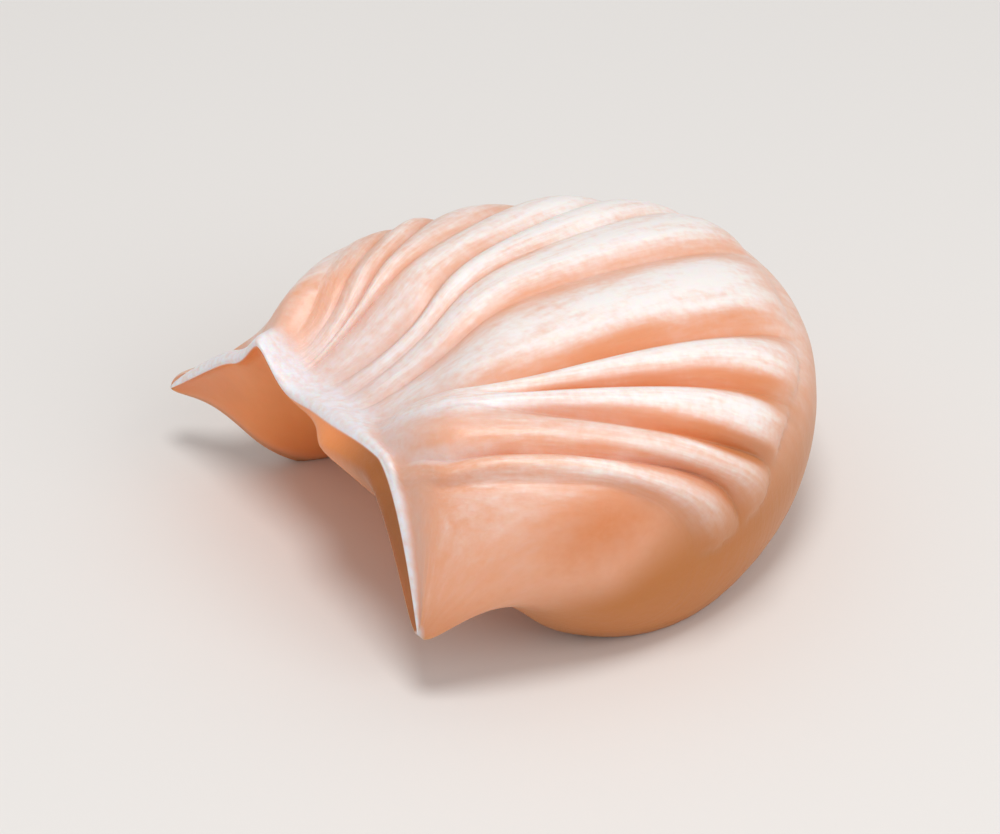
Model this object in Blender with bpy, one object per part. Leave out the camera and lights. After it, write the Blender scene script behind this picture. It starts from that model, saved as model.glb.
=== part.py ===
"""Steamed shrimp dumpling: one thin wrapper folded over its filling.

The wrapper is gathered along a curved seam, whose lip stands out from one side, and its
pleats fan from the seam over the crown and end as rounded fingertips on the belly.
Lengths are in millimetres until the mesh is written in metres.
"""

import bpy
import numpy as np

MM = 0.001

# Fan: the wrapper is swept about an upright axis, from the left tip (-1) to the right tip (1).
HALF_SWEEP = 65.2
SEAM_RADIUS = 12.1
SEAM_RADIUS_GROWTH = (11.3, 11.0)
SEAM_RADIUS_POWER = (3.14, 2.6)

# Body: reach of the belly from the seam, and height of the crown. Pairs are for the left and the
# right half of the sweep.
REACH = 45.4
REACH_LEAST = 1.8
REACH_POWER = (3.73, 1.18)
CROWN_HEIGHT = 22.9
CROWN_POWER = (2.89, 0.77)
SWELL_POWER = (2.0, 2.0)
CROWN_TILT = 0.29
CROWN_AT = 0.29
CROWN_RISE = 1.12
WING_FALL = 4.61
SECTION = 17
UNDERCUT = 0.32
LOBE_FULLNESS = 0.45

# Seam: its height along the sweep, the raised wing near the left tip, and the flap below it.
SEAM_HEIGHT = 16.7
SEAM_SLOPE = 3.36
TIP_HEIGHT = 7.1
TIP_FROM = (0.73, 0.72)
TIP_POWER = (1.66, 1.77)
WING_RISE = 4.1
WING_AT = -0.52
WING_WIDTH = (0.14, 0.17)
WING_SHARPNESS = 1.7
FLAP_DEPTH = 6.6
SHELF_OUT = 2.69
SHELF_DROP = 3.1
BASE_LIFT_FROM = 0.48

# Lip: the pinched double edge of the wrapper.
LIP_LENGTH = 3.2
LIP_HALF_THICKNESS = 0.65
LIP_ANGLE = 25.0
LIP_TAIL_THINNING = 0.5

# Creases in the wrapper from left to right, the outer two being the ends of the pleated part:
# where each lies in the sweep at the places named below along the section, where along the
# section it starts, and how deep it is, as a part of the pleats' height.
CREASE_HEIGHTS = (1.5, 3.5, 5.0, 6.4, 7.2, 8.4)
CREASES = (
    ((-0.48, -0.42, -0.44, -0.49, -0.52, -0.55), 3.0, 1.00),
    ((-0.40, -0.335, -0.363, -0.41, -0.435, -0.465), 3.2, 0.50),
    ((-0.35, -0.265, -0.288, -0.355, -0.38, -0.405), 3.2, 0.60),
    ((-0.31, -0.235, -0.220, -0.25, -0.27, -0.295), 1.8, 0.65),
    ((-0.15, -0.01, -0.095, -0.15, -0.17, -0.19), 1.4, 0.70),
    ((0.03, 0.07, -0.005, -0.06, -0.08, -0.105), 1.4, 0.55),
    ((0.21, 0.21, 0.14, 0.075, 0.06, 0.035), 1.4, 0.85),
    ((0.35, 0.535, 0.548, 0.322, 0.277, 0.23), 1.8, 0.95),
    ((0.40, 0.585, 0.595, 0.468, 0.425, 0.35), 5.3, 1.00),
    ((0.46, 0.66, 0.645, 0.588, 0.58, 0.43), 5.3, 1.00),
    ((0.745, 0.80, 0.81, 0.72, 0.655, 0.52), 2.0, 0.95),
    ((0.82, 0.86, 0.868, 0.815, 0.755, 0.62), 1.4, 1.00),
)

# Pleats between them: height as a part of the tallest, where along the section each rises and
# ends, and its mesh columns.
PLEAT_HEIGHT = 1.7
PLEATS = (
    (0.18, 1.6, 7.2, 6),
    (0.56, 1.6, 7.3, 6),
    (0.65, 1.6, 7.4, 6),
    (0.68, 1.6, 7.5, 7),
    (0.68, 1.6, 7.4, 7),
    (0.72, 1.6, 7.3, 8),
    (0.95, 1.6, 7.2, 13),
    (1.00, 1.6, 7.5, 8),
    (1.00, 1.6, 7.85, 7),
    (0.95, 1.8, 8.4, 9),
    (0.80, 3.2, 8.65, 8),
)
PLEAT_ROUNDNESS = 2.2
PLEAT_END_LENGTH = 1.3
FINGERTIP_SWELL = 0.2

# Mesh: columns in the plain strips at both ends, and rows in each span of the section.
COLUMNS_PLAIN = (14, 10)
TIP_STEP = 0.25
ROWS = ((0.0, 2.0, 4), (2.0, 6.0, 13), (6.0, 8.6, 10), (8.6, 13.0, 9), (13.0, 17.0, 8))


def blend(start, end, x):
    """Smooth step from 0 at start to 1 at end."""
    s = np.clip((x - start) / (end - start), 0, 1)
    return s * s * (3 - 2 * s)


def steps(spans):
    """Parameter values that cut each (start, end, count) span evenly, without the last end."""
    parts = [np.linspace(a, b, count, endpoint=False) for a, b, count in spans]
    return np.concatenate(parts)


def by_side(t, pair):
    """The pair's first value on the left half of the sweep and its second on the right."""
    return np.where(t < 0, *pair)


def rails(t):
    """Sweep angle, seam radius, reach, seam height, crown height and base height at t."""
    size = np.abs(t)
    swell = np.clip(1 - size ** by_side(t, SWELL_POWER), 0, 1)
    angle = np.radians(HALF_SWEEP) * t
    radius = SEAM_RADIUS + by_side(t, SEAM_RADIUS_GROWTH) * size ** by_side(t, SEAM_RADIUS_POWER)
    least = REACH_LEAST * np.clip(1 - size**8, 0, 1) ** 0.5
    reach = least + (REACH - REACH_LEAST) * swell ** by_side(t, REACH_POWER)
    beside = np.abs(t - WING_AT) / np.where(t < WING_AT, *WING_WIDTH)
    wing = WING_RISE * np.exp(-(beside**WING_SHARPNESS))
    seam = SEAM_HEIGHT + SEAM_SLOPE * t + wing
    tip_from = by_side(t, TIP_FROM)
    at_tip = np.clip((size - tip_from) / (1 - tip_from), 0, 1) ** by_side(t, TIP_POWER)
    seam = seam * (1 - at_tip) + TIP_HEIGHT * at_tip
    rise = swell ** by_side(t, CROWN_POWER) * (1 + CROWN_TILT * t)
    fall = WING_FALL * blend(-0.4, -0.75, t) * blend(1.0, 0.8, size)
    step = CROWN_RISE * (1 - size**4) - fall
    crown = seam + step + (CROWN_HEIGHT - seam - step) * rise
    flap = FLAP_DEPTH * np.clip(1 - size**5, 0, 1) ** 0.6
    base = np.minimum((seam - flap) * blend(BASE_LIFT_FROM, 1.0, size), seam - flap)
    return angle, radius, reach, seam, crown, base


def controls(t):
    """Control points (..., point, distance from the axis and height) of the section at each t."""
    angle, radius, reach, seam, crown, base = rails(t)
    thin = np.clip(1 - np.abs(t) ** 6, 0, 1) ** 0.5 * (1 - LIP_TAIL_THINNING * blend(0.3, 0.7, t))
    tilt = np.radians(LIP_ANGLE)
    along = np.array([-np.cos(tilt), np.sin(tilt)])
    across = np.array([np.sin(tilt), np.cos(tilt)])
    length = (LIP_LENGTH * thin)[..., None] * along
    half = (LIP_HALF_THICKNESS * thin)[..., None] * across
    nose = (0.25 * LIP_HALF_THICKNESS * thin)[..., None] * along
    edge = np.stack([radius, seam], -1)
    root = radius + LIP_LENGTH * thin * np.cos(tilt)
    root_height = seam - LIP_LENGTH * thin * np.sin(tilt)
    full = LOBE_FULLNESS * blend(0.3, 0.75, t)
    shelf = blend(-0.8, 0.45, t)[..., None]
    shelf_edge = np.clip(1 - t**4, 0, 1)[..., None] ** 0.5 * np.array([-SHELF_OUT, -SHELF_DROP])

    def upper(out, up):
        return np.stack([root + out * reach, root_height + up * (crown - root_height)], -1)

    def lower(out, up):
        return np.stack([root + out * reach, base + up * (root_height - base)], -1)

    under_lip = edge - 1.15 * half - 0.95 * length
    under_lip = under_lip * (1 - shelf) + (edge + 0.45 * shelf_edge) * shelf
    back = lower(UNDERCUT - 0.02, 0.50) * (1 - shelf) + (edge + shelf_edge) * shelf
    points = [
        edge + nose,
        edge + half - 0.25 * length,
        edge + 1.15 * half - 0.95 * length,
        upper(0.07, 0.30 + full),
        upper(0.20, 0.70 + 0.7 * full),
        upper(CROWN_AT, 1.06),
        upper(CROWN_AT + 0.24, 1.00),
        upper(0.88, 0.66),
        lower(0.97, 0.92),
        lower(0.95, 0.25),
        lower(0.80, -0.10),
        lower(0.55, -0.08),
        lower(UNDERCUT + 0.24, -0.06),
        lower(UNDERCUT + 0.07, 0.10),
        back,
        under_lip,
        edge - half - 0.25 * length * (1 - shelf),
    ]
    return np.stack(points, -2), angle


def spline_weights(v):
    """Weights of a closed uniform cubic B-spline over the section's control points, at each v."""
    whole = np.floor(v).astype(int)
    f = v - whole
    parts = (
        (1 - f) ** 3 / 6,
        (3 * f**3 - 6 * f**2 + 4) / 6,
        (-3 * f**3 + 3 * f**2 + 3 * f + 1) / 6,
        f**3 / 6,
    )
    weights = np.zeros((len(v), SECTION))
    for k, part in enumerate(parts):
        weights[np.arange(len(v)), (whole + k - 1) % SECTION] += part
    return weights


def plain_body(t, v):
    """Points of the body without its pleats. t has a row of values for each v."""
    points, angle = controls(t)
    out, up = np.einsum("vk,uvkc->cuv", spline_weights(v), points)
    return np.stack([out * np.sin(angle), out * np.cos(angle), up], -1)


def outward(t, v):
    """Unit normals of the plain body, by small differences."""
    e = 1e-3
    t = np.clip(t, -1 + 2 * e, 1 - 2 * e)
    along = plain_body(t + e, v) - plain_body(t - e, v)
    around = plain_body(t, v + e) - plain_body(t, np.maximum(v - e, 0))
    normal = np.cross(along, around)
    return normal / np.linalg.norm(normal, axis=-1, keepdims=True)


def crease_lines(v):
    """Where each crease lies along the sweep, for every row v.

    A crease runs straight between its named places, rounded by averaging over a short stretch,
    and under the lip it keeps the place that it has at the seam.
    """
    front = np.where(v < 12, v, 0)[:, None] + np.linspace(-0.6, 0.6, 13)
    back = blend(9.0, 12.0, v)
    lines = []
    for places, _, _ in CREASES:
        line = np.interp(front, CREASE_HEIGHTS, places).mean(-1)
        lines.append(line * (1 - back) + places[0] * back)
    return np.stack(lines, -1)


def sweep_position(u, v):
    """t at pleat coordinate u: whole numbers from 0 are creases, and the tips lie one beyond."""
    lines = crease_lines(v)
    count = len(PLEATS)
    low = np.clip(np.floor(u).astype(int), 0, count - 1)
    part = u - low
    t = lines[:, low] * (1 - part) + lines[:, low + 1] * part
    from_left, from_right = u + 1, count + 1 - u
    left = TIP_STEP * from_left + (1 + lines[:, :1] - TIP_STEP) * from_left**2
    right = TIP_STEP * from_right + (1 - lines[:, -1:] - TIP_STEP) * from_right**2
    t = np.where(u < 0, left - 1, np.where(u > count, 1 - right, t))
    return t.T


def pleat_ridges(u, v):
    """Ridges across the pleats, from 0 on the plain body to 1 on a crest, at each (u, v)."""
    count = len(PLEATS)
    low = np.clip(np.floor(u).astype(int), 0, count - 1)
    across = np.clip(2 * (u - low) - 1, -1, 1)
    starts = np.array([crease[1] for crease in CREASES])
    depths = np.array([crease[2] for crease in CREASES])
    depths = depths * blend(starts - 0.6, starts + 1.2, v[:, None])
    near = np.where(across < 0, depths[:, low], depths[:, low + 1]).T
    ridges = 1 - near * np.abs(across)[:, None] ** PLEAT_ROUNDNESS
    ends = blend(0, 0.5, u) * blend(0, 0.5, count - u)
    return ridges * ends[:, None]


def pleat_strength(u, v):
    """How far the pleats stand out along their length, as a part of PLEAT_HEIGHT."""
    middles = np.arange(len(PLEATS)) + 0.5
    heights, starts, stops, _ = (np.interp(u, middles, column)[:, None] for column in zip(*PLEATS))
    left = 1 - np.clip((stops - v) / PLEAT_END_LENGTH, 0, 1)
    tip = 1 + FINGERTIP_SWELL * np.exp(-(((v - stops + 0.8) / 0.7) ** 2))
    from_nose = np.where(v > 12, v - SECTION, v)
    on_lip = 0.2 * blend(0.0, 1.0, from_nose)
    on_body = 0.8 * blend(starts, starts + 3, from_nose)
    round_end = np.where(from_nose > 4, np.sqrt(1 - left**2) * tip, 1)
    return heights * (on_lip + on_body) * round_end


def dumpling_grid(u, v):
    """Points of the pleated dumpling, resting on z = 0 and centred on the upright axis."""
    t = sweep_position(u, v)
    relief = PLEAT_HEIGHT * pleat_ridges(u, v) * pleat_strength(u, v)
    points = plain_body(t, v) + outward(t, v) * relief[..., None]
    points[..., 2] = np.maximum(points[..., 2], 0)
    low, high = points.min((0, 1)), points.max((0, 1))
    middle = (low + high) / 2
    return points - np.array([middle[0], middle[1], low[2]])


def closed_mesh(name, grid):
    """Mesh of a grid that closes on itself in v and meets in one point at each tip."""
    columns, rows = grid.shape[:2]
    inner = grid[1:-1].reshape(-1, 3)
    points = np.concatenate([inner, grid[:1, 0], grid[-1:, 0]])
    i = np.arange(columns - 3)[:, None] * rows
    k = np.arange(rows)[None]
    after = (k + 1) % rows
    quads = np.stack([i + k, i + rows + k, i + rows + after, i + after], -1).reshape(-1, 4)
    k, after = k[0], after[0]
    last = (columns - 3) * rows
    left = np.stack([np.full(rows, len(inner)), k, after], -1)
    right = np.stack([np.full(rows, len(inner) + 1), last + after, last + k], -1)
    mesh = bpy.data.meshes.new(name)
    mesh.from_pydata((points * MM).tolist(), [], quads.tolist() + left.tolist() + right.tolist())
    mesh.update()
    return mesh


def wrapper_material():
    material = bpy.data.materials.new("translucent_wrapper")
    material.use_nodes = True
    shader = material.node_tree.nodes["Principled BSDF"]
    shader.inputs["Base Color"].default_value = (0.86, 0.60, 0.46, 1.0)
    shader.inputs["Roughness"].default_value = 0.32
    shader.inputs["Subsurface Weight"].default_value = 0.5
    shader.inputs["Subsurface Scale"].default_value = 0.004
    return material


def build():
    for old in list(bpy.data.objects):
        bpy.data.objects.remove(old, do_unlink=True)
    count = len(PLEATS)
    strips = [(k, k + 1, pleat[3]) for k, pleat in enumerate(PLEATS)]
    left, right = (-1, 0, COLUMNS_PLAIN[0]), (count, count + 1, COLUMNS_PLAIN[1])
    u = np.append(steps([left, *strips, right]), count + 1)
    v = steps(ROWS)
    mesh = closed_mesh("dumpling", dumpling_grid(u, v))
    mesh.materials.append(wrapper_material())
    mesh.shade_smooth()
    dumpling = bpy.data.objects.new("dumpling", mesh)
    bpy.context.scene.collection.objects.link(dumpling)


build()
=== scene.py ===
"""Steamed shrimp dumpling: a moist, see-through wrapper, pleated along one seam.

The wrapper is one fine surface over the solid dumpling. Its shape is worked out in
millimetres from a few named sizes, and its colours come from how the wrapper is folded:
dense and milk-white on the pleats and the seam, thin and warm where the filling shows through.
Painted light and shade are laid over them: the skin that faces up is whitened, the belly is
painted a warm brown low down as shade and reflected light, the face below the seam darkens
towards its right, and the last crease by the seam has a lilac painted shadow.
"""

import bpy
import numpy as np
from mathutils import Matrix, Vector


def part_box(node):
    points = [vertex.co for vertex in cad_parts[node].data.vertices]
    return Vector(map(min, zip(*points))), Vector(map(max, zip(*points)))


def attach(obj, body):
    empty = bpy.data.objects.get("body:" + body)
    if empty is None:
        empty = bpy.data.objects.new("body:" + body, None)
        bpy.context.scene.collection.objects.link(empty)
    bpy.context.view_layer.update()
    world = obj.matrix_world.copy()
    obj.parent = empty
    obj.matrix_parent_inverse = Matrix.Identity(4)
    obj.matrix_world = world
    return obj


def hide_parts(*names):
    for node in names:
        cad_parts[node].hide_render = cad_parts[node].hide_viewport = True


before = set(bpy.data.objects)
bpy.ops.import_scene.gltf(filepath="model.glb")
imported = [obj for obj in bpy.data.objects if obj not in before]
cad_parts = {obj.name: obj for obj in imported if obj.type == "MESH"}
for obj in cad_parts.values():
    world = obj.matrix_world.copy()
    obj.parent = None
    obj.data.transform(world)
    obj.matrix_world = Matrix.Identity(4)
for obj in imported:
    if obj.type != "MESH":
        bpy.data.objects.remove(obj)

bl_info = {
    "name": "Shrimp Dumpling",
    "version": (1, 0, 0),
    "blender": (4, 5, 0),
    "location": "3D View > Sidebar > Dumpling",
    "description": "Makes a steamed, pleated shrimp dumpling and a plain stage for it",
    "category": "Object",
}

MM = 0.001

# Form of the dumpling, in millimetres, the same as the solid's.

# Fan: the wrapper is swept about an upright axis, from the left tip (-1) to the right tip (1).
HALF_SWEEP = 65.2
SEAM_RADIUS = 12.1
SEAM_RADIUS_GROWTH = (11.3, 11.0)
SEAM_RADIUS_POWER = (3.14, 2.6)

# Body: reach of the belly from the seam, and height of the crown. Pairs are for the left and the
# right half of the sweep.
REACH = 45.4
REACH_LEAST = 1.8
REACH_POWER = (3.73, 1.18)
CROWN_HEIGHT = 22.9
CROWN_POWER = (2.89, 0.77)
SWELL_POWER = (2.0, 2.0)
CROWN_TILT = 0.29
CROWN_AT = 0.29
CROWN_RISE = 1.12
WING_FALL = 4.61
UNDERCUT = 0.32
LOBE_FULLNESS = 0.45

# Section: how many control points go round it from the lip's edge, over the crown and back below,
# and the one from which they climb the face below the seam.
SECTION = 17
FACE_FROM = 12

# Seam: its height along the sweep, the raised wing near the left tip, and the flap below it.
SEAM_HEIGHT = 16.7
SEAM_SLOPE = 3.36
TIP_HEIGHT = 7.1
TIP_FROM = (0.73, 0.72)
TIP_POWER = (1.66, 1.77)
WING_RISE = 4.1
WING_AT = -0.52
WING_WIDTH = (0.14, 0.17)
WING_SHARPNESS = 1.7
FLAP_DEPTH = 6.6
SHELF_OUT = 2.69
SHELF_DROP = 3.1
BASE_LIFT_FROM = 0.48

# Lip: the pinched double edge of the wrapper.
LIP_LENGTH = 3.2
LIP_HALF_THICKNESS = 0.65
LIP_ANGLE = 25.0
LIP_TAIL_THINNING = 0.5

# Creases in the wrapper from left to right, the outer two being the ends of the pleated part:
# where each lies in the sweep at the places named below along the section, where along the
# section it starts, and how deep it is, as a part of the pleats' height.
CREASE_HEIGHTS = (1.5, 3.5, 5.0, 6.4, 7.2, 8.4)
CREASES = (
    ((-0.48, -0.42, -0.44, -0.49, -0.52, -0.55), 3.0, 1.00),
    ((-0.40, -0.335, -0.363, -0.41, -0.435, -0.465), 3.2, 0.50),
    ((-0.35, -0.265, -0.288, -0.355, -0.38, -0.405), 3.2, 0.60),
    ((-0.31, -0.235, -0.220, -0.25, -0.27, -0.295), 1.8, 0.65),
    ((-0.15, -0.01, -0.095, -0.15, -0.17, -0.19), 1.4, 0.70),
    ((0.03, 0.07, -0.005, -0.06, -0.08, -0.105), 1.4, 0.55),
    ((0.21, 0.21, 0.14, 0.075, 0.06, 0.035), 1.4, 0.85),
    ((0.35, 0.535, 0.548, 0.322, 0.277, 0.23), 1.8, 0.95),
    ((0.40, 0.585, 0.595, 0.468, 0.425, 0.35), 5.3, 1.00),
    ((0.46, 0.66, 0.645, 0.588, 0.58, 0.43), 5.3, 1.00),
    ((0.745, 0.80, 0.81, 0.72, 0.655, 0.52), 2.0, 0.95),
    ((0.82, 0.86, 0.868, 0.815, 0.755, 0.62), 1.4, 1.00),
)

# Pleats between them: height as a part of the tallest, where along the section each rises and
# ends, and its mesh columns.
PLEAT_HEIGHT = 1.7
PLEATS = (
    (0.18, 1.6, 7.2, 6),
    (0.56, 1.6, 7.3, 6),
    (0.65, 1.6, 7.4, 6),
    (0.68, 1.6, 7.5, 7),
    (0.68, 1.6, 7.4, 7),
    (0.72, 1.6, 7.3, 8),
    (0.95, 1.6, 7.2, 13),
    (1.00, 1.6, 7.5, 8),
    (1.00, 1.6, 7.85, 7),
    (0.95, 1.8, 8.4, 9),
    (0.80, 3.2, 8.65, 8),
)

# Across a pleat, the power by which it falls off. Along it, the length of its round end, and the
# swell before that end.
PLEAT_ROUNDNESS = 2.2
PLEAT_END_LENGTH = 1.3
FINGERTIP_SWELL = 0.2

# Half the stretch of the section over which a crease is rounded, and how fast the plain strips
# beside the pleats leave the tips.
CREASE_ROUNDING = 0.6
TIP_STEP = 0.25

# Fine grid: columns for each one of the solid's, columns in the plain strips, and rows in spans
# of the section.
FINER = 5
COLUMNS_PLAIN = (50, 46)
ROWS = ((0.0, 2.0, 22), (2.0, 6.0, 56), (6.0, 9.0, 46), (9.0, 13.0, 26), (13.0, 17.0, 28))

# Fine wrinkles: how quickly they change across and along the pleats, how far they may rise as a
# part of their depth, and the rows between which they come in and go out.
WRINKLE_PACE = (9.0, 1.3)
WRINKLE_RISE = 0.3
WRINKLE_ROWS = ((0.0, 2.0), (8.0, 9.5))
WRINKLE_SEED = 3

# How milky the wrapper is on each pleat, from left to right.
MILKINESS = (0.0, 0.56, 0.64, 0.78, 1.06, 1.00, 1.00, 0.88, 0.88, 0.58, 0.80)

# Shrimp pressed against the skin: centre, reach along each axis, and how strongly each shows.
SHRIMP_SPOTS = (
    ((23.8, -10.1, 16.0), (5.2, 5.4, 3.8), 1.0),
    ((-20.5, 4.0, 11.0), (7.0, 7.0, 4.5), 0.6),
    ((-6.0, 22.5, 10.0), (7.0, 7.0, 4.5), 0.6),
)

# Where the colours change. A pair is the start and the end of a smooth step, and two pairs are
# where a colour comes in and where it goes out again. Rows run along the section from the lip,
# pleats count from the left, and the sweep runs from -1 at the left tip to 1 at the right one.
# FOLD_END, and VALLEY_END below, are in rows from where each pleat ends.
FOLD_ROWS = (1.4, 3.4)
FOLD_END = (-0.6, 0.2)
CREASE_DEPTH = (0.04, 0.45)
# FACING_UP: how far the skin's normal points up, over which painted light from above comes in.
FACING_UP = (-0.1, 0.8)
FACE_ROWS = ((12.0, 12.8), (16.1, 16.6))
FACE_TIP_SWEEP = (-0.97, -0.68)
# SHADE_SWEEP: where painted shade darkens the face below the seam, from left to right.
SHADE_SWEEP = (0.3, 0.85)

# Milky: the crests, less near the lip and at the tail. Then painted light from above, which
# whitens the skin that faces up, most on the crown and a little at its left end.
CREST_ROWS = (3.5, 6.5)
TAIL_PLEATS = (8.9, 9.4)
TAIL_ROWS = (5.4, 7.4)
TOP_ROWS = (4.0, 6.0)
CROWN_PLEATS = ((2.6, 3.8), (5.3, 5.9))
CROWN_ROWS = ((5.2, 6.2), (6.8, 7.4))
LEFT_END_PLEATS = (-0.2, 0.8)
LEFT_END_ROWS = (1.5, 3.5)

# Shrimp in the creases: deeper in colour at the right, less so in the last ones. MOTTLE_PACE is
# how quickly its soft clouds change, along and up, for each millimetre.
TINT_SWEEP = (0.1, 0.45)
TINT_ROWS = (4.4, 6.0)
TINT_TAIL_PLEATS = (9.3, 9.8)
MOTTLE_PACE = (0.32, 0.25)
MOTTLE_SEED = 11

# Rim: the lip, the paler wrapper beside it, and two folds that run into it, each given by its
# place among the pleats and its width: the stem, and the last crease, whose lilac line is a
# painted shadow.
RIM_START = (-0.8, -0.5)
RIM_NARROWS_SWEEP = (0.3, 0.6)
BESIDE_ROWS = ((0.5, 1.5), (2.5, 5.6))
BESIDE_LEFT_PLEATS = (0.2, 1.2)
BESIDE_TAIL_SWEEP = (0.70, 0.80)
STEM = (8.8, 0.55)
STEM_END_ROWS = (4.0, 7.2)
LAST_CREASE_SHADOW = (10, 0.3)
LAST_CREASE_SHADOW_END_ROWS = (4.5, 6.4)

# Golden: painted shade with warm painted reflected light, low on the belly and between the last
# pleats' ends. Its heights in millimetres between which it fades, and how much lower they lie on
# the lobe. Then the lobe, in y and in pleats, the step in y from the front inwards, the direction
# of the right end with its step, and the valleys at the ends of the last pleats.
GOLDEN_SHADE_HEIGHT = (8.5, 19.0)
GOLDEN_SHADE_LOBE_LOWER = (2, 7)
LOBE_Y = (-2.0, -10.0)
LOBE_PLEATS = (9.8, 10.4)
FRONT_Y = (-22.0, -8.0)
RIGHT_END_DIRECTION = (0.84, -0.54)
RIGHT_END_FACING = (-0.6, 0.4)
VALLEY_END = (-0.1, 0.5)
END_PLEATS = ((7.2, 8.6), (10.8, 11.4))
END_ROWS = ((6.8, 7.9), (8.7, 9.6))
LAST_END_PLEATS = (9.0, 9.8)

# Texture of the skin: streaks across and along the pleats, then clouds and grain for each metre.
STREAK_SCALE = (78.0, 30.0, 1.0)
CLOUD_SCALE = 160.0
GRAIN_SCALE = 1400.0
ROUGHNESS_SPREAD = 0.16
BUMP_STRENGTH = 0.35
BUMP_DISTANCE = 0.2 * MM

# Stage, in metres and degrees: what the camera looks at, how far it is turned and lifted, how far
# away it stands and how wide a view it takes in there. Its sensor is in millimetres.
LOOK_AT = (0.00004, -0.00525, 0.01125)
CAMERA_TURN = 57.5
CAMERA_LIFT = 34.6
CAMERA_DISTANCE = 0.325
VIEW_WIDTH = 0.08583691
SENSOR_WIDTH = 36.0
FLOOR_HALF_SIDE = 1.5
WARM_WHITE = (1.0, 0.98, 0.96)

# Soft lights: name, distance, direction (to the camera's right, up, towards the camera), diameter
# and power.
LIGHTS = (
    ("key", 0.45, (0.0, 1.0, 0.40), 0.20, 1.45),
    ("fill", 0.6, (0.7, 0.3, 0.8), 0.5, 1.3),
)


class DumplingSettings(bpy.types.PropertyGroup):
    """Sizes and colours of the dumpling that a user would change."""

    pleat_height: bpy.props.FloatProperty(
        name="Pleat height",
        description="How far a pleat stands over the body",
        default=PLEAT_HEIGHT * MM,
        unit="LENGTH",
    )
    wrinkle_depth: bpy.props.FloatProperty(
        name="Wrinkle depth",
        description="Depth of the fine wrinkles that run along the pleats",
        default=0.06 * MM,
        unit="LENGTH",
    )
    milky_and_lit: bpy.props.FloatVectorProperty(
        name="Milky wrapper",
        description="Colour where the wrapper is thick",
        default=(0.94, 0.89, 0.88),
        subtype="COLOR",
        size=3,
    )
    # Lilac white of the pinched edge, also used for a painted shadow in the last crease.
    rim_and_crease_shadow: bpy.props.FloatVectorProperty(
        name="Pinched rim",
        description="Colour of the pinched edge along the seam",
        default=(0.83, 0.84, 0.90),
        subtype="COLOR",
        size=3,
    )
    salmon: bpy.props.FloatVectorProperty(
        name="Salmon wrapper",
        description="Colour where the wrapper is thin over the filling",
        default=(0.81, 0.388, 0.23),
        subtype="COLOR",
        size=3,
    )
    shrimp: bpy.props.FloatVectorProperty(
        name="Shrimp",
        description="Colour where a shrimp lies right behind the wrapper",
        default=(0.74, 0.265, 0.10),
        subtype="COLOR",
        size=3,
    )
    # Colour of the painted shade and warm painted reflected light low on the belly.
    golden_shade: bpy.props.FloatVectorProperty(
        name="Golden base",
        description="Colour low on the belly",
        default=(0.52, 0.170, 0.022),
        subtype="COLOR",
        size=3,
    )
    under_left: bpy.props.FloatVectorProperty(
        name="Under the wing",
        description="Colour of the face below the seam, at its left",
        default=(0.96, 0.33, 0.10),
        subtype="COLOR",
        size=3,
    )
    # The face below the seam at its right, darkened to brown as painted shade.
    under_right_shaded: bpy.props.FloatVectorProperty(
        name="Under the tail",
        description="Colour of the face below the seam, at its right",
        default=(0.35, 0.11, 0.020),
        subtype="COLOR",
        size=3,
    )
    roughness: bpy.props.FloatProperty(
        name="Roughness",
        description="Roughness of the moist wrapper",
        default=0.40,
        min=0.0,
        max=1.0,
        subtype="FACTOR",
    )


def blend(start, end, x):
    """Smooth step from 0 at start to 1 at end."""
    s = np.clip((x - start) / (end - start), 0, 1)
    return s * s * (3 - 2 * s)


def band(x, comes, goes):
    """Smooth hump: from 0 to 1 over the first span of x and back to 0 over the second."""
    return blend(*comes, x) * (1 - blend(*goes, x))


def bell(x, middle, width):
    """Bell curve: 1 at the middle, and about a third of that a width to either side."""
    return np.exp(-(((x - middle) / width) ** 2))


def steps(spans):
    """Parameter values that cut each (start, end, count) span evenly, without the last end."""
    parts = [np.linspace(a, b, count, endpoint=False) for a, b, count in spans]
    return np.concatenate(parts)


def by_side(t, pair):
    """The pair's first value on the left half of the sweep and its second on the right."""
    return np.where(t < 0, *pair)


def rails(t):
    """Sweep angle, seam radius, reach, seam height, crown height and base height at t.

    The angle is in proportion to t. The radius grows and the reach shrinks as powers of the
    distance from the middle. The seam is a sloping line with the wing as a bell on it, and its
    tips come down to one height. The crown swells over the seam, and the base lifts to each tip.
    """
    size = np.abs(t)
    swell = np.clip(1 - size ** by_side(t, SWELL_POWER), 0, 1)
    angle = np.radians(HALF_SWEEP) * t
    radius = SEAM_RADIUS + by_side(t, SEAM_RADIUS_GROWTH) * size ** by_side(t, SEAM_RADIUS_POWER)
    least = REACH_LEAST * np.clip(1 - size**8, 0, 1) ** 0.5
    reach = least + (REACH - REACH_LEAST) * swell ** by_side(t, REACH_POWER)
    beside = np.abs(t - WING_AT) / np.where(t < WING_AT, *WING_WIDTH)
    wing = WING_RISE * np.exp(-(beside**WING_SHARPNESS))
    seam = SEAM_HEIGHT + SEAM_SLOPE * t + wing
    tip_from = by_side(t, TIP_FROM)
    at_tip = np.clip((size - tip_from) / (1 - tip_from), 0, 1) ** by_side(t, TIP_POWER)
    seam = seam * (1 - at_tip) + TIP_HEIGHT * at_tip
    rise = swell ** by_side(t, CROWN_POWER) * (1 + CROWN_TILT * t)
    fall = WING_FALL * blend(-0.4, -0.75, t) * blend(1.0, 0.8, size)
    step = CROWN_RISE * (1 - size**4) - fall
    crown = seam + step + (CROWN_HEIGHT - seam - step) * rise
    flap = FLAP_DEPTH * np.clip(1 - size**5, 0, 1) ** 0.6
    base = np.minimum((seam - flap) * blend(BASE_LIFT_FROM, 1.0, size), seam - flap)
    return angle, radius, reach, seam, crown, base


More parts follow.
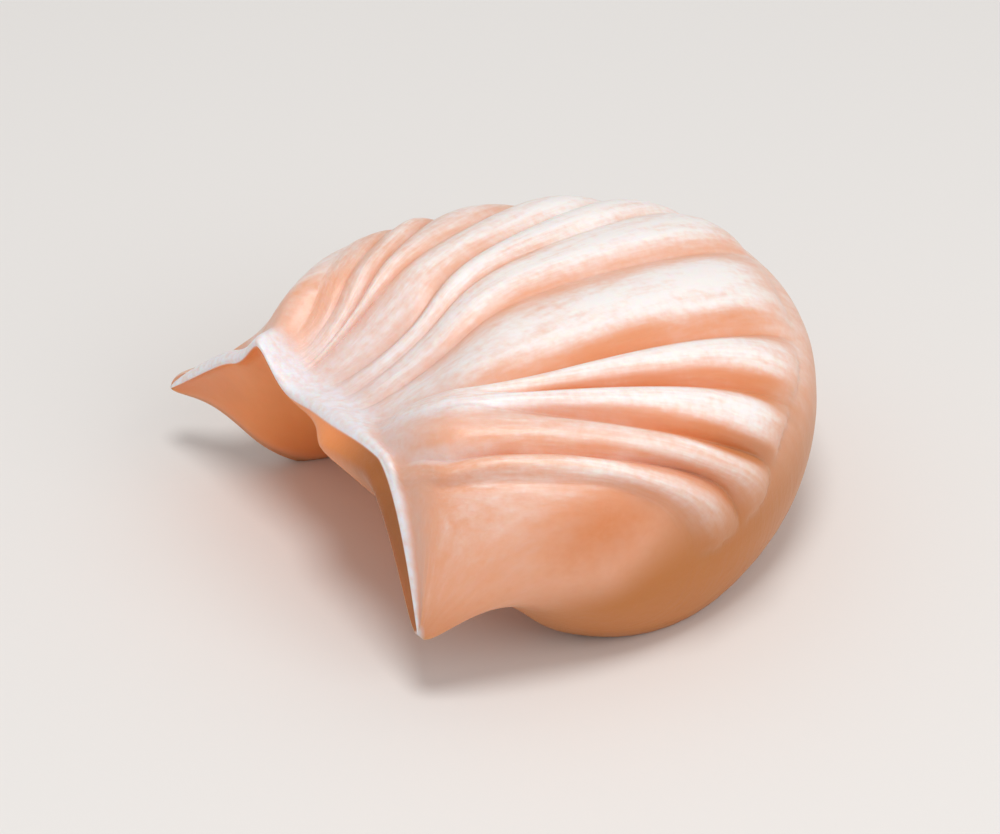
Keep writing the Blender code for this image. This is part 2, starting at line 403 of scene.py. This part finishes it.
def controls(t):
    """Control points (..., point, distance from the axis and height) of the section at each t.

    They go round from the lip's edge over the crown, down the belly, along the base and up the
    face below the seam. upper and lower place a point by parts of the reach and of the height
    above or below the lip's root.
    """
    angle, radius, reach, seam, crown, base = rails(t)
    thin = np.clip(1 - np.abs(t) ** 6, 0, 1) ** 0.5 * (1 - LIP_TAIL_THINNING * blend(0.3, 0.7, t))
    tilt = np.radians(LIP_ANGLE)
    along = np.array([-np.cos(tilt), np.sin(tilt)])
    across = np.array([np.sin(tilt), np.cos(tilt)])
    length = (LIP_LENGTH * thin)[..., None] * along
    half = (LIP_HALF_THICKNESS * thin)[..., None] * across
    nose = (0.25 * LIP_HALF_THICKNESS * thin)[..., None] * along
    edge = np.stack([radius, seam], -1)
    root = radius + LIP_LENGTH * thin * np.cos(tilt)
    root_height = seam - LIP_LENGTH * thin * np.sin(tilt)
    full = LOBE_FULLNESS * blend(0.3, 0.75, t)
    shelf = blend(-0.8, 0.45, t)[..., None]
    shelf_edge = np.clip(1 - t**4, 0, 1)[..., None] ** 0.5 * np.array([-SHELF_OUT, -SHELF_DROP])

    def upper(out, up):
        return np.stack([root + out * reach, root_height + up * (crown - root_height)], -1)

    def lower(out, up):
        return np.stack([root + out * reach, base + up * (root_height - base)], -1)

    under_lip = edge - 1.15 * half - 0.95 * length
    under_lip = under_lip * (1 - shelf) + (edge + 0.45 * shelf_edge) * shelf
    back = lower(UNDERCUT - 0.02, 0.50) * (1 - shelf) + (edge + shelf_edge) * shelf
    points = [
        edge + nose,
        edge + half - 0.25 * length,
        edge + 1.15 * half - 0.95 * length,
        upper(0.07, 0.30 + full),
        upper(0.20, 0.70 + 0.7 * full),
        upper(CROWN_AT, 1.06),
        upper(CROWN_AT + 0.24, 1.00),
        upper(0.88, 0.66),
        lower(0.97, 0.92),
        lower(0.95, 0.25),
        lower(0.80, -0.10),
        lower(0.55, -0.08),
        lower(UNDERCUT + 0.24, -0.06),
        lower(UNDERCUT + 0.07, 0.10),
        back,
        under_lip,
        edge - half - 0.25 * length * (1 - shelf),
    ]
    return np.stack(points, -2), angle


def spline_weights(v):
    """Weights of a closed uniform cubic B-spline over the section's control points, at each v."""
    whole = np.floor(v).astype(int)
    f = v - whole
    parts = (
        (1 - f) ** 3 / 6,
        (3 * f**3 - 6 * f**2 + 4) / 6,
        (-3 * f**3 + 3 * f**2 + 3 * f + 1) / 6,
        f**3 / 6,
    )
    weights = np.zeros((len(v), SECTION))
    for k, part in enumerate(parts):
        weights[np.arange(len(v)), (whole + k - 1) % SECTION] += part
    return weights


def plain_body(t, v):
    """Points of the body without its pleats. t has a row of values for each v.

    Each is a point of the section's spline, turned about the upright axis by the sweep angle.
    """
    points, angle = controls(t)
    out, up = np.einsum("vk,uvkc->cuv", spline_weights(v), points)
    return np.stack([out * np.sin(angle), out * np.cos(angle), up], -1)


def outward(t, v):
    """Unit normals of the plain body, by small differences."""
    step = 1e-3
    t = np.clip(t, -1 + 2 * step, 1 - 2 * step)
    along = plain_body(t + step, v) - plain_body(t - step, v)
    around = plain_body(t, v + step) - plain_body(t, np.maximum(v - step, 0))
    normal = np.cross(along, around)
    return normal / np.linalg.norm(normal, axis=-1, keepdims=True)


def crease_lines(v):
    """Where each crease lies along the sweep, for every row v.

    A crease runs straight between its named places, rounded by averaging over a short stretch,
    and under the lip it keeps the place that it has at the seam.
    """
    stretch = np.linspace(-CREASE_ROUNDING, CREASE_ROUNDING, 13)
    front = np.where(v < FACE_FROM, v, 0)[:, None] + stretch
    back = blend(9.0, 12.0, v)
    lines = []
    for places, _, _ in CREASES:
        line = np.interp(front, CREASE_HEIGHTS, places).mean(-1)
        lines.append(line * (1 - back) + places[0] * back)
    return np.stack(lines, -1)


def sweep_position(u, v):
    """t at pleat coordinate u: whole numbers from 0 are creases, and the tips lie one beyond.

    Between two creases t goes evenly. Beyond the outer two it leaves each tip at TIP_STEP and
    grows as a square.
    """
    lines = crease_lines(v)
    count = len(PLEATS)
    low = np.clip(np.floor(u).astype(int), 0, count - 1)
    part = u - low
    t = lines[:, low] * (1 - part) + lines[:, low + 1] * part
    from_left, from_right = u + 1, count + 1 - u
    left = TIP_STEP * from_left + (1 + lines[:, :1] - TIP_STEP) * from_left**2
    right = TIP_STEP * from_right + (1 - lines[:, -1:] - TIP_STEP) * from_right**2
    t = np.where(u < 0, left - 1, np.where(u > count, 1 - right, t))
    return t.T


def from_lip(v):
    """Rows counted from the lip's edge, negative on the face below it."""
    return np.where(v > FACE_FROM, v - SECTION, v)


def pleat_ridges(u, v):
    """Ridges across the pleats, from 0 on the plain body to 1 on a crest, at each (u, v).

    A ridge falls off from its middle as a power, as far as the depth of the crease beside it.
    """
    count = len(PLEATS)
    low = np.clip(np.floor(u).astype(int), 0, count - 1)
    across = np.clip(2 * (u - low) - 1, -1, 1)
    starts = np.array([crease[1] for crease in CREASES])
    depths = np.array([crease[2] for crease in CREASES])
    depths = depths * blend(starts - 0.6, starts + 1.2, v[:, None])
    near = np.where(across < 0, depths[:, low], depths[:, low + 1]).T
    ridges = 1 - near * np.abs(across)[:, None] ** PLEAT_ROUNDNESS
    ends = blend(0, 0.5, u) * blend(0, 0.5, count - u)
    return ridges * ends[:, None]


def pleat_strength(u, v):
    """How far the pleats stand out along their length, as a part of PLEAT_HEIGHT.

    A little on the lip, rising over the body, with a swell and a quarter round at the end.
    """
    middles = np.arange(len(PLEATS)) + 0.5
    heights, starts, stops, _ = (np.interp(u, middles, column)[:, None] for column in zip(*PLEATS))
    left = 1 - np.clip((stops - v) / PLEAT_END_LENGTH, 0, 1)
    tip = 1 + FINGERTIP_SWELL * bell(v, stops - 0.8, 0.7)
    past_edge = from_lip(v)
    on_lip = 0.2 * blend(0.0, 1.0, past_edge)
    on_body = 0.8 * blend(starts, starts + 3, past_edge)
    round_end = np.where(past_edge > 4, np.sqrt(1 - left**2) * tip, 1)
    return heights * (on_lip + on_body) * round_end


def soft_noise(x, y, seed, waves=28):
    """Smooth uneven field: a sum of sine waves with seeded directions, from about -1 to 1."""
    draw = np.random.default_rng(seed)
    turn = draw.uniform(0, 2 * np.pi, waves)
    pace = draw.uniform(0.5, 1.6, waves)
    start = draw.uniform(0, 2 * np.pi, waves)
    total = np.zeros(np.broadcast(x, y).shape)
    for a, k, s in zip(turn, pace, start):
        total += np.sin(k * (x * np.cos(a) + y * np.sin(a)) + s)
    return total / np.sqrt(waves)


def wrapper_surface(u, v, pleat_height, wrinkle_depth):
    """Points of the fine wrapper, with what its colours are worked out from.

    The plain body, moved out along its normals by the pleats and by fine wrinkles: a smooth
    uneven field that changes quickly across the pleats and slowly along them. It is pressed
    flat at z = 0 and centred on the upright axis, as the solid is.
    """
    t = sweep_position(u, v)
    body, normal = plain_body(t, v), outward(t, v)
    ridges, strength = pleat_ridges(u, v), pleat_strength(u, v)
    pleats = pleat_height * ridges * strength
    whole = body + normal * pleats[..., None]
    whole[..., 2] = np.maximum(whole[..., 2], 0)
    low, high = whole.min((0, 1)), whole.max((0, 1))
    across, along = u[:, None] * WRINKLE_PACE[0], v[None] * WRINKLE_PACE[1]
    wrinkles = np.minimum(soft_noise(across, along, WRINKLE_SEED), WRINKLE_RISE)
    wrinkles = wrinkle_depth * wrinkles * band(v, *WRINKLE_ROWS)
    relief = pleats + wrinkles * (0.35 + 0.65 * strength)
    points = body + normal * relief[..., None]
    points[..., 2] = np.maximum(points[..., 2], 0)
    points = points - np.array([(low[0] + high[0]) / 2, (low[1] + high[1]) / 2, low[2]])
    return points, t, normal, ridges


def fitted(points, box):
    """The points, held inside a box given as its lowest and highest corner in metres."""
    low, high = (np.array(corner) / MM for corner in box)
    return np.clip(points, low, high)


def closed_grid(name, grid, guides, along):
    """Mesh of a grid that closes on itself in v and meets in one point at each tip.

    Four-sided faces join the columns, and a fan of triangles closes each tip. guides are named
    values for each grid point, and along is the map that follows the pleats.
    """
    columns, rows = grid.shape[:2]
    inner = grid[1:-1].reshape(-1, 3)
    points = np.concatenate([inner, grid[:1, 0], grid[-1:, 0]])
    i = np.arange(columns - 3)[:, None] * rows
    k = np.arange(rows)[None]
    after = (k + 1) % rows
    quads = np.stack([i + k, i + rows + k, i + rows + after, i + after], -1).reshape(-1, 4)
    k, after = k[0], after[0]
    last = (columns - 3) * rows
    left = np.stack([np.full(rows, len(inner)), k, after], -1)
    right = np.stack([np.full(rows, len(inner) + 1), last + after, last + k], -1)
    mesh = bpy.data.meshes.new(name)
    mesh.from_pydata((points * MM).tolist(), [], quads.tolist() + left.tolist() + right.tolist())
    for guide, values in guides.items():
        flat = np.concatenate([values[1:-1].ravel(), values[:1, 0], values[-1:, 0]])
        layer = mesh.attributes.new(guide, "FLOAT", "POINT")
        layer.data.foreach_set("value", flat.astype(np.float32))
    corners = np.empty(len(mesh.loops), np.int32)
    mesh.loops.foreach_get("vertex_index", corners)
    flat = np.concatenate([along[1:-1].reshape(-1, 2), along[:1, 0], along[-1:, 0]])
    layer = mesh.uv_layers.new(name="along_pleats")
    layer.data.foreach_set("uv", flat[corners].astype(np.float32).ravel())
    mesh.update()
    mesh.shade_smooth()
    return mesh


def milky_and_lit_guide(pleat, rows, ridges, fade, lit_from_above):
    """Thick wrapper on the crests of the pleats, or, where it is greater, painted light from
    above, which whitens the skin that faces up.

    A crest is weaker near the lip and on the last pleats there, each has its own milkiness, and
    as painted light it is whiter where it faces up. The upturned skin whitens away from the lip,
    most on the crown, and a little at the left end.
    """
    crest = np.clip(ridges, 0, 1) * fade * (0.70 + 0.30 * blend(*CREST_ROWS, rows))
    crest = crest * (1 - 0.80 * blend(*TAIL_PLEATS, pleat) * (1 - blend(*TAIL_ROWS, rows)))
    crest = crest * np.interp(pleat, np.arange(len(PLEATS)) + 0.5, MILKINESS)
    crown = band(pleat, *CROWN_PLEATS) * band(rows, *CROWN_ROWS)
    left_end = (1 - blend(*LEFT_END_PLEATS, pleat)) * blend(*LEFT_END_ROWS, rows)
    least = lit_from_above * (blend(*TOP_ROWS, rows) * (0.4 + 0.55 * crown) + 0.2 * left_end)
    return np.maximum(crest * (0.7 + 0.3 * lit_from_above), least)


def rim_and_crease_shadow_guide(pleat, rows, t, crease):
    """Pinched edge, with a painted shadow: the strongest of the lip, the wrapper beside it, the
    stem and the last fold, where a lilac painted shadow lies in the crease.

    The lip is a hump round the section's start, wider on the left half. The stem and the last
    fold are bells across the pleats that fade along them.
    """
    past_edge = from_lip(rows)
    wide = 1 - blend(*RIM_NARROWS_SWEEP, t)
    lip_end = blend(0.5 + 0.9 * wide, 2.3 + 1.1 * wide, past_edge)
    lip = blend(*RIM_START, past_edge) * (1 - lip_end)
    beside = band(past_edge, *BESIDE_ROWS) * (1 - 0.7 * blend(*BESIDE_TAIL_SWEEP, t))
    beside = beside * (0.3 + 0.7 * blend(*BESIDE_LEFT_PLEATS, pleat))
    stem = bell(pleat, *STEM) * (1 - blend(*STEM_END_ROWS, rows))
    stem = stem * blend(*BESIDE_ROWS[0], past_edge)
    # Painted shadow: the last crease near the seam is tinted lilac grey.
    last_crease_shadow = bell(pleat, *LAST_CREASE_SHADOW) * crease * (1 - blend(*LAST_CREASE_SHADOW_END_ROWS, rows))
    return np.max([lip, 0.45 * beside, 0.65 * stem, 0.5 * last_crease_shadow], 0)


def golden_shade_guide(pleat, rows, points, normal, valleys, stops):
    """Golden painted shade and warm painted reflected light: low on the belly, or in the valleys
    at the ends of the last pleats.

    On the belly it fades with height, lower down on the lobe, is weaker towards the front, and
    is strongest where the skin faces the right end.
    """
    y, z = points[..., 1], points[..., 2]
    lobe = blend(*LOBE_Y, y) * blend(*LOBE_PLEATS, pleat)
    full, none = (height - lower * lobe for height, lower in zip(GOLDEN_SHADE_HEIGHT, GOLDEN_SHADE_LOBE_LOWER))
    # Painted shade: strongest low down, fading with height.
    belly = (1 - blend(full, none, z)) * (0.5 + 0.5 * blend(*FRONT_Y, y))
    facing = normal[..., 0] * RIGHT_END_DIRECTION[0] + normal[..., 1] * RIGHT_END_DIRECTION[1]
    belly = belly * (0.3 + 0.7 * blend(*RIGHT_END_FACING, facing))
    past_pleat = blend(stops + VALLEY_END[0], stops + VALLEY_END[1], rows)
    ends = band(pleat, *END_PLEATS) * band(rows, *END_ROWS)
    ends = (0.6 - 0.4 * blend(*LAST_END_PLEATS, pleat)) * ends * np.maximum(valleys, past_pleat)
    return np.maximum(belly, ends)


def shrimp_spots(points):
    """Shrimp pressed against the skin: the strongest of a few soft balls round their centres."""
    return np.max(
        [
            strength * np.exp(-(((points - centre) / reach) ** 2).sum(-1))
            for centre, reach, strength in SHRIMP_SPOTS
        ],
        0,
    )


def colour_guides(u, v, t, points, normal, ridges):
    """Masks from 0 to 1 that the wrapper's material reads, a value for each point of the grid.

    milky_and_lit: the milk-white of a dense wrapper, and painted light where the skin faces up.
    shrimp: filling against the skin, in the creases and in a few spots, with soft clouds.
    golden_shade: painted shade and warm painted reflected light, low on the belly and between
    the last pleats' ends. under: the face below the seam. shade: painted shade on that face,
    growing along the seam from left to right. rim_and_crease_shadow: the pinched edge, and a
    lilac painted shadow in the last crease.
    """
    pleat, rows = u[:, None], v[None]
    count = len(PLEATS)
    stops = np.interp(pleat, np.arange(count) + 0.5, [values[2] for values in PLEATS])
    pleats_end = blend(stops + FOLD_END[0], stops + FOLD_END[1], from_lip(rows))
    fade = blend(*FOLD_ROWS, from_lip(rows)) * (1 - pleats_end)
    valleys = blend(*CREASE_DEPTH, blend(0, 0.5, pleat) * blend(0, 0.5, count - pleat) - ridges)
    crease = valleys * fade
    right = blend(*TINT_SWEEP, t) * blend(*TINT_ROWS, rows)
    tint = 0.24 + 0.64 * right * (1 - 0.75 * blend(*TINT_TAIL_PLEATS, pleat))
    under = band(rows, *FACE_ROWS)
    under = under * (1 - 0.5 * (1 - blend(*FACE_TIP_SWEEP, t)))
    outside = 1 - under
    spot = shrimp_spots(points)
    x, y, z = np.moveaxis(points, -1, 0)
    mottle = soft_noise(x * MOTTLE_PACE[0], y * MOTTLE_PACE[0] + z * MOTTLE_PACE[1], MOTTLE_SEED)
    # Painted light: the skin that faces up is whitened, as if lit from above.
    lit_from_above = blend(*FACING_UP, normal[..., 2])
    milky_and_lit = milky_and_lit_guide(pleat, rows, ridges, fade, lit_from_above) * (1 - tint * crease)
    return {
        "milky_and_lit": np.clip(milky_and_lit, 0, 1) * outside * (1 - spot),
        "shrimp": np.clip(spot + tint * crease + 0.12 * mottle, 0, 1) * outside,
        "golden_shade": golden_shade_guide(pleat, rows, points, normal, valleys, stops) * outside,
        "under": under,
        "shade": blend(*SHADE_SWEEP, t),
        "rim_and_crease_shadow": rim_and_crease_shadow_guide(pleat, rows, t, crease),
    }


class Nodes:
    """Short ways to add and join shader nodes in one material.

    A value or a colour is a number, a tuple of numbers or another node's socket.
    """

    def __init__(self, material):
        material.use_nodes = True
        self.tree = material.node_tree
        self.shader = self.tree.nodes["Principled BSDF"]

    def add(self, kind, **values):
        node = self.tree.nodes.new(kind)
        for name, value in values.items():
            setattr(node, name, value)
        return node

    def join(self, source, target):
        self.tree.links.new(source, target)

    def guide(self, name):
        return self.add("ShaderNodeAttribute", attribute_name=name).outputs["Fac"]

    def mix(self, factor, first, second):
        """Mix of two colours: the first at factor 0, the second at 1."""
        node = self.add("ShaderNodeMix", data_type="RGBA")
        self.join(factor, node.inputs["Factor"])
        for socket, value in ((node.inputs[6], first), (node.inputs[7], second)):
            if isinstance(value, bpy.types.NodeSocket):
                self.join(value, socket)
            else:
                socket.default_value = (*value, 1.0)
        return node.outputs[2]

    def math(self, operation, *values, clamp=False):
        node = self.add("ShaderNodeMath", operation=operation, use_clamp=clamp)
        for socket, value in zip(node.inputs, values):
            if isinstance(value, bpy.types.NodeSocket):
                self.join(value, socket)
            else:
                socket.default_value = value
        return node.outputs[0]

    def centred(self, value, amount):
        """A value from 0 to 1 made to swing round 0, by half the amount to either side."""
        return self.math("MULTIPLY_ADD", value, amount, -amount / 2)

    def soft_step(self, value, low, high):
        """Smooth step of the value from 0 at low to 1 at high."""
        node = self.add("ShaderNodeMapRange", interpolation_type="SMOOTHSTEP")
        self.join(value, node.inputs["Value"])
        node.inputs["From Min"].default_value = low
        node.inputs["From Max"].default_value = high
        return node.outputs["Result"]

    def noise(self, vector, scale, detail=3.0, roughness=0.5):
        node = self.add("ShaderNodeTexNoise")
        self.join(vector, node.inputs["Vector"])
        node.inputs["Scale"].default_value = scale
        node.inputs["Detail"].default_value = detail
        node.inputs["Roughness"].default_value = roughness
        return node.outputs["Fac"]


def wrapper_material(settings):
    """Moist starch wrapper: milk-white on the folds, salmon where thin, with painted light and
    shade: whiter where it faces up, warm brown painted shade low down, darker to the right below
    the seam, and a lilac painted shadow in the last crease.
    """
    material = bpy.data.materials.new("translucent_wrapper")
    nodes = Nodes(material)
    place = nodes.add("ShaderNodeTexCoord").outputs["Object"]
    along = nodes.add("ShaderNodeUVMap", uv_map="along_pleats").outputs["UV"]
    stretch = nodes.add("ShaderNodeMapping")
    nodes.join(along, stretch.inputs["Vector"])
    stretch.inputs["Scale"].default_value = STREAK_SCALE
    streaks = nodes.noise(stretch.outputs["Vector"], 1.0, 3.0, 0.6)
    clouds = nodes.noise(place, CLOUD_SCALE, 3.0, 0.55)
    grain = nodes.noise(place, GRAIN_SCALE, 2.0, 0.5)

    # Streaks and grain break up the white skin, the more where the wrapper is thick and where
    # painted light whitens it.
    thick_and_lit = nodes.guide("milky_and_lit")
    chalky = nodes.math("ADD", nodes.centred(streaks, 1.4), nodes.centred(grain, 0.7))
    chalky = nodes.math("MULTIPLY", chalky, nodes.math("MULTIPLY_ADD", thick_and_lit, 0.7, 0.3))
    cloudy = nodes.centred(clouds, 0.4)
    milky_and_lit = nodes.math("ADD", nodes.math("ADD", thick_and_lit, chalky), cloudy)
    milky_and_lit = nodes.soft_step(milky_and_lit, -0.1, 1.1)
    mottle = nodes.math("ADD", cloudy, nodes.centred(grain, 0.8))
    shrimp = nodes.math("ADD", nodes.guide("shrimp"), mottle, clamp=True)
    colour = nodes.mix(shrimp, settings.salmon, settings.shrimp)
    colour = nodes.mix(milky_and_lit, colour, settings.milky_and_lit)
    # Painted shade and warm painted reflected light, low on the belly and between the last pleats'
    # ends.
    colour = nodes.mix(nodes.guide("golden_shade"), colour, settings.golden_shade)
    # Painted shade on the face below the seam: orange at its left, darker brown towards its right.
    shade = nodes.math("ADD", nodes.guide("shade"), cloudy, clamp=True)
    below = nodes.mix(shade, settings.under_left, settings.under_right_shaded)
    colour = nodes.mix(nodes.guide("under"), colour, below)
    uneven = nodes.math("MULTIPLY_ADD", grain, 0.9, 0.44, clamp=True)
    # The pinched edge, and a lilac painted shadow in the last crease.
    rim_and_crease_shadow = nodes.math("MULTIPLY", nodes.guide("rim_and_crease_shadow"), uneven)
    colour = nodes.mix(rim_and_crease_shadow, colour, settings.rim_and_crease_shadow)
    skin = nodes.shader.inputs
    nodes.join(colour, skin["Base Color"])

    least_rough = settings.roughness - ROUGHNESS_SPREAD / 2
    rough = nodes.math("MULTIPLY_ADD", clouds, ROUGHNESS_SPREAD, least_rough)
    nodes.join(rough, skin["Roughness"])
    bump = nodes.add("ShaderNodeBump")
    bump.inputs["Strength"].default_value = BUMP_STRENGTH
    bump.inputs["Distance"].default_value = BUMP_DISTANCE
    nodes.join(nodes.math("MULTIPLY_ADD", grain, 0.35, streaks), bump.inputs["Height"])
    nodes.join(bump.outputs["Normal"], skin["Normal"])

    skin["Subsurface Weight"].default_value = 0.45
    skin["Subsurface Radius"].default_value = (1.0, 0.45, 0.25)
    skin["Subsurface Scale"].default_value = 1.8 * MM
    skin["IOR"].default_value = 1.40
    skin["Coat Weight"].default_value = 0.22
    skin["Coat Roughness"].default_value = 0.26
    return material


class DUMPLING_OT_wrapper(bpy.types.Operator):
    """Make the pleated wrapper"""

    bl_idname = "dumpling.wrapper"
    bl_label = "Pleated wrapper"

    def execute(self, context):
        settings = context.scene.dumpling
        count = len(PLEATS)
        strips = [(k, k + 1, FINER * pleat[3]) for k, pleat in enumerate(PLEATS)]
        left, right = (-1, 0, COLUMNS_PLAIN[0]), (count, count + 1, COLUMNS_PLAIN[1])
        u = np.append(steps([left, *strips, right]), count + 1)
        v = steps(ROWS)
        sizes = settings.pleat_height / MM, settings.wrinkle_depth / MM
        points, t, normal, ridges = wrapper_surface(u, v, *sizes)
        points = fitted(points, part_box("dumpling"))
        guides = colour_guides(u, v, t, points, normal, ridges)
        along = np.stack(np.broadcast_arrays(u[:, None] / count, v[None] / SECTION), -1)
        mesh = closed_grid("wrapper", points, guides, along)
        mesh.materials.append(wrapper_material(settings))
        wrapper = bpy.data.objects.new("wrapper", mesh)
        context.scene.collection.objects.link(wrapper)
        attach(wrapper, "root")
        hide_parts("dumpling")
        return {"FINISHED"}


def aim(item, towards):
    """Turn an object at its place so that its -Z looks at a point."""
    item.rotation_euler = (item.location - Vector(towards)).to_track_quat("Z", "Y").to_euler()


def soft_light(name, place, towards, size, power):
    """Round, warm white area light at a place, turned towards a point."""
    data = bpy.data.lights.new(name, "AREA")
    data.shape = "DISK"
    data.size = size
    data.energy = power
    data.color = WARM_WHITE
    light = bpy.data.objects.new(name, data)
    bpy.context.scene.collection.objects.link(light)
    light.location = place
    aim(light, towards)


def pale_floor():
    """Plain matt floor, one square at z = 0."""
    side = FLOOR_HALF_SIDE
    corners = [(-side, -side, 0), (side, -side, 0), (side, side, 0), (-side, side, 0)]
    mesh = bpy.data.meshes.new("floor")
    mesh.from_pydata(corners, [], [(0, 1, 2, 3)])
    material = bpy.data.materials.new("pale_floor")
    material.use_nodes = True
    shader = material.node_tree.nodes["Principled BSDF"].inputs
    shader["Base Color"].default_value = (0.80, 0.79, 0.78, 1.0)
    shader["Roughness"].default_value = 0.8
    mesh.materials.append(material)
    return bpy.data.objects.new("floor", mesh)


def studio_world():
    """Even, warm white light from all round."""
    world = bpy.data.worlds.new("studio")
    world.use_nodes = True
    background = world.node_tree.nodes["Background"].inputs
    background["Color"].default_value = (*WARM_WHITE, 1.0)
    background["Strength"].default_value = 0.5
    return world


class DUMPLING_OT_stage(bpy.types.Operator):
    """Make the floor, the soft light and the camera"""

    bl_idname = "dumpling.stage"
    bl_label = "Plain stage"

    def execute(self, context):
        scene = context.scene
        floor = pale_floor()
        scene.collection.objects.link(floor)
        scene.world = studio_world()

        middle = Vector(LOOK_AT)
        turn, lift = np.radians(CAMERA_TURN), np.radians(CAMERA_LIFT)
        back = Vector((np.sin(turn) * np.cos(lift), -np.cos(turn) * np.cos(lift), np.sin(lift)))
        across = Vector((np.cos(turn), np.sin(turn), 0))
        upward = Vector((0, 0, 1))
        for name, distance, (right, up, near), size, power in LIGHTS:
            place = middle + distance * (right * across + up * upward + near * back)
            soft_light(name, place, middle, size, power)

        data = bpy.data.cameras.new("camera")
        data.sensor_width = SENSOR_WIDTH
        data.lens = SENSOR_WIDTH * CAMERA_DISTANCE / VIEW_WIDTH
        camera = bpy.data.objects.new("camera", data)
        scene.collection.objects.link(camera)
        camera.location = middle + back * CAMERA_DISTANCE
        aim(camera, middle)
        scene.camera = camera
        scene.view_settings.view_transform = "Standard"
        return {"FINISHED"}


class DUMPLING_PT_panel(bpy.types.Panel):
    """Lists the dumpling's settings and pieces"""

    bl_idname = "DUMPLING_PT_panel"
    bl_label = "Shrimp Dumpling"
    bl_space_type = "VIEW_3D"
    bl_region_type = "UI"
    bl_category = "Dumpling"

    def draw(self, context):
        settings = context.scene.dumpling
        for name in DumplingSettings.__annotations__:
            self.layout.prop(settings, name)
        self.layout.operator(DUMPLING_OT_wrapper.bl_idname)
        self.layout.operator(DUMPLING_OT_stage.bl_idname)


CLASSES = (DumplingSettings, DUMPLING_OT_wrapper, DUMPLING_OT_stage, DUMPLING_PT_panel)


def register():
    for kind in CLASSES:
        bpy.utils.register_class(kind)
    bpy.types.Scene.dumpling = bpy.props.PointerProperty(type=DumplingSettings)


def unregister():
    del bpy.types.Scene.dumpling
    for kind in reversed(CLASSES):
        bpy.utils.unregister_class(kind)


def main():
    register()
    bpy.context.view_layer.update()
    bpy.ops.dumpling.wrapper()
    bpy.ops.dumpling.stage()


if __name__ == "__main__":
    main()
